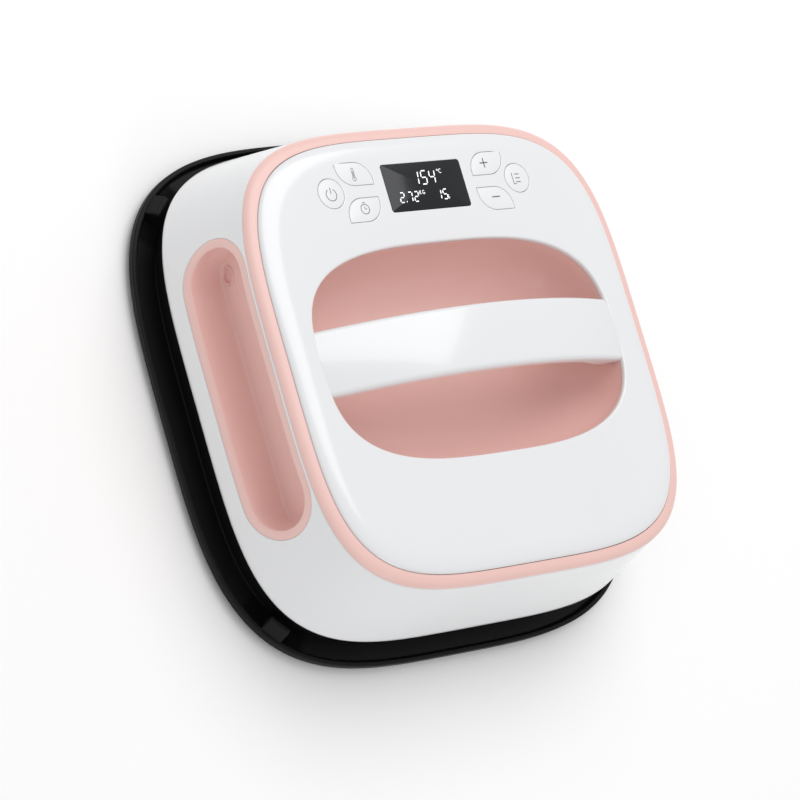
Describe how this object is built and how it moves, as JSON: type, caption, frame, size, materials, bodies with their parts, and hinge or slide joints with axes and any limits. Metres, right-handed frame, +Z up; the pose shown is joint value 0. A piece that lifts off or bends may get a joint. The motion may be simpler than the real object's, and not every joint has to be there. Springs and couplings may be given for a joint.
{
  "type": "heat press",
  "caption": "Portable square heat press with arched carrying handle over a hand recess, side grips, touch keys and display, resting in an insulated stand.",
  "frame": {"origin": "centre of the stand's footprint, on the surface that its feet rest on", "axes": "+Z up; X along the carrying handle; +Y towards the display edge and the cord entry"},
  "size_m": [0.29, 0.29, 0.1081],
  "materials": {
    "stand_plastic": "fine-textured black moulding",
    "pad_silicone": "heat-proof woven-faced silicone",
    "foot_rubber": "matt rubber",
    "white_gloss": "glossy injection-moulded white",
    "pink_satin": "satin blush pink moulding",
    "key_white": "white keycap with grey printed sign",
    "window_dark": "dark polished window",
    "black_plastic": "heat-resistant black moulding",
    "plate_coating": "dark non-stick coating on cast aluminium",
    "element_steel": "tubular sheath",
    "ceramic_white": "ceramic terminal",
    "blanket_fibre": "ceramic-fibre felt",
    "sheet_steel": "zinc-plated sheet",
    "screw_steel": "zinc-plated screws",
    "board_green": "solder-masked circuit board",
    "part_black": "moulded component body",
    "relay_blue": "relay housing",
    "winding_yellow": "taped winding",
    "heatsink_alu": "extruded fins",
    "capacitor_sleeve": "printed sleeve",
    "terminal_green": "terminal block",
    "ribbon_grey": "flat cable",
    "lead_red": "silicone-insulated heater lead",
    "lead_brown": "mains lead",
    "sensor_amber": "sensor cap"
  },
  "bodies": {
    "stand": {"stand_tray": "stand_plastic", "stand_pad": "pad_silicone", "stand_feet": "foot_rubber"},
    "press": {"housing_shell": "white_gloss", "trim_ring": "pink_satin", "top_cover": "white_gloss", "hand_recess": "pink_satin", "handle_upper": "white_gloss", "handle_lower": "white_gloss", "handle_screws": "screw_steel", "side_grip_left": "pink_satin", "side_grip_right": "pink_satin", "grip_screw_caps": "pink_satin", "display_window": "window_dark", "display_module": "part_black", "control_board": "board_green", "tact_switches": "part_black", "board_screws": "screw_steel", "buzzer": "part_black", "base_skirt": "black_plastic", "heat_plate": "plate_coating", "heating_element": "element_steel", "heater_terminals": "ceramic_white", "insulation_blanket": "blanket_fibre", "heat_shield": "sheet_steel", "plate_standoffs": "screw_steel", "plate_screws": "screw_steel", "thermistor": "sensor_amber", "thermal_fuse": "sheet_steel", "load_cell_front_left": "sheet_steel", "load_cell_front_right": "sheet_steel", "load_cell_rear_left": "sheet_steel", "load_cell_rear_right": "sheet_steel", "chassis_plate": "sheet_steel", "power_board": "board_green", "power_relay": "relay_blue", "triac_heatsink": "heatsink_alu", "transformer": "winding_yellow", "filter_capacitors": "capacitor_sleeve", "terminal_block": "terminal_green", "ribbon_cable": "ribbon_grey", "heater_leads": "lead_red", "mains_leads": "lead_brown", "cord_gland": "black_plastic", "gland_nut": "black_plastic", "housing_screws": "screw_steel", "cover_screws": "screw_steel"},
    "power_button": {"power_key": "key_white", "power_plunger": "part_black"},
    "temperature_button": {"temperature_key": "key_white", "temperature_plunger": "part_black"},
    "timer_button": {"timer_key": "key_white", "timer_plunger": "part_black"},
    "plus_button": {"plus_key": "key_white", "plus_plunger": "part_black"},
    "minus_button": {"minus_key": "key_white", "minus_plunger": "part_black"},
    "mode_button": {"mode_key": "key_white", "mode_plunger": "part_black"}
  },
  "joints": [
    {"name": "press_lift", "type": "slide", "parent": "stand", "child": "press", "axis": [0, 0, 1], "range_m": [0, 0.08]},
    {"name": "power_press", "type": "slide", "parent": "press", "child": "power_button", "axis": [0, 0, -1], "range_m": [0, 0.0008], "stiffness_N_per_m": 400, "springref_m": -0.0006},
    {"name": "temperature_press", "type": "slide", "parent": "press", "child": "temperature_button", "axis": [0, 0, -1], "range_m": [0, 0.0008], "stiffness_N_per_m": 400, "springref_m": -0.0006},
    {"name": "timer_press", "type": "slide", "parent": "press", "child": "timer_button", "axis": [0, 0, -1], "range_m": [0, 0.0008], "stiffness_N_per_m": 400, "springref_m": -0.0006},
    {"name": "plus_press", "type": "slide", "parent": "press", "child": "plus_button", "axis": [0, 0, -1], "range_m": [0, 0.0008], "stiffness_N_per_m": 400, "springref_m": -0.0006},
    {"name": "minus_press", "type": "slide", "parent": "press", "child": "minus_button", "axis": [0, 0, -1], "range_m": [0, 0.0008], "stiffness_N_per_m": 400, "springref_m": -0.0006},
    {"name": "mode_press", "type": "slide", "parent": "press", "child": "mode_button", "axis": [0, 0, -1], "range_m": [0, 0.0008], "stiffness_N_per_m": 400, "springref_m": -0.0006}
  ]
}
